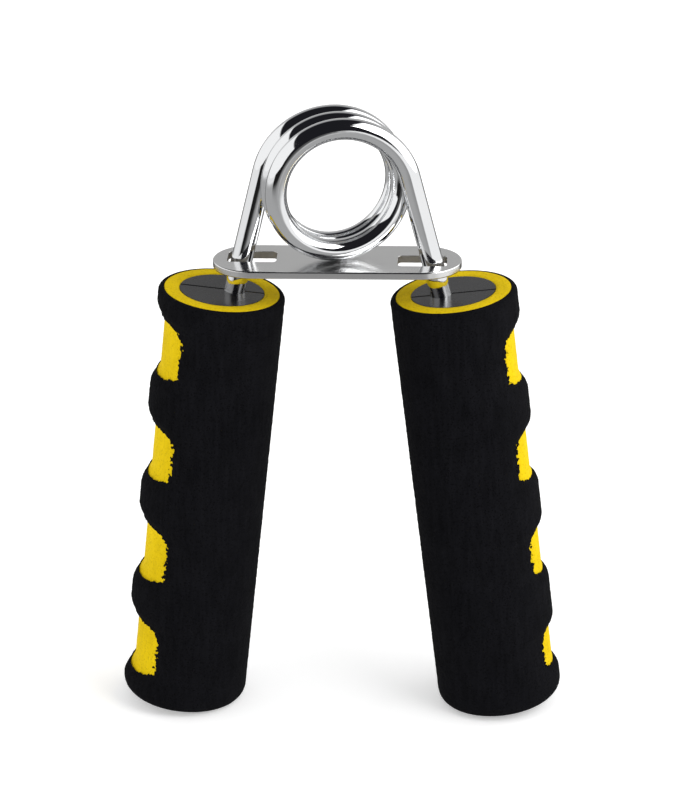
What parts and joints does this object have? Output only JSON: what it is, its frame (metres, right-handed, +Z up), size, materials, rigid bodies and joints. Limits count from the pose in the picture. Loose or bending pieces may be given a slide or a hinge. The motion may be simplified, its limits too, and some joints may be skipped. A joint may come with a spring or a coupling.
{
  "type": "hand grip strengthener",
  "caption": "Spring hand exerciser: a chromed wire coil above a slotted guide plate, its legs running into foam handles with finger grooves.",
  "frame": {"origin": "centre of the footprint, on the surface that the two handles stand on", "axes": "+Z up through the coil, +X towards the right handle seen from the front, +Y to the rear; the front is the side that the coil's leading turn faces"},
  "size_m": [0.119, 0.0334, 0.1668],
  "materials": {
    "spring_chrome": "polished",
    "plate_steel": "satin",
    "core_plastic": "gloss",
    "foam_yellow": "matte",
    "foam_black": "matte"
  },
  "bodies": {
    "root": {"guide_plate": "plate_steel", "spring_coil": "spring_chrome"},
    "left_handle": {"left_spring_leg": "spring_chrome", "left_core_front": "core_plastic", "left_core_rear": "core_plastic", "left_inner_sleeve": "foam_yellow", "left_outer_sleeve": "foam_black"},
    "right_handle": {"right_spring_leg": "spring_chrome", "right_core_front": "core_plastic", "right_core_rear": "core_plastic", "right_inner_sleeve": "foam_yellow", "right_outer_sleeve": "foam_black"}
  },
  "joints": [
    {"name": "left_squeeze", "type": "hinge", "parent": "root", "child": "left_handle", "pos_m": [0, 0, 0.1472], "axis": [0, -1, 0], "range_deg": [0, 10.2], "stiffness_Nm_per_rad": 72, "deforming": ["spring_coil"]},
    {"name": "right_squeeze", "type": "hinge", "parent": "root", "child": "right_handle", "pos_m": [0, 0, 0.1472], "axis": [0, 1, 0], "range_deg": [0, 10.2], "stiffness_Nm_per_rad": 72, "deforming": ["spring_coil"]}
  ],
  "couplings": [
    {"joint": "right_squeeze", "follows": "left_squeeze", "ratio": 1}
  ]
}
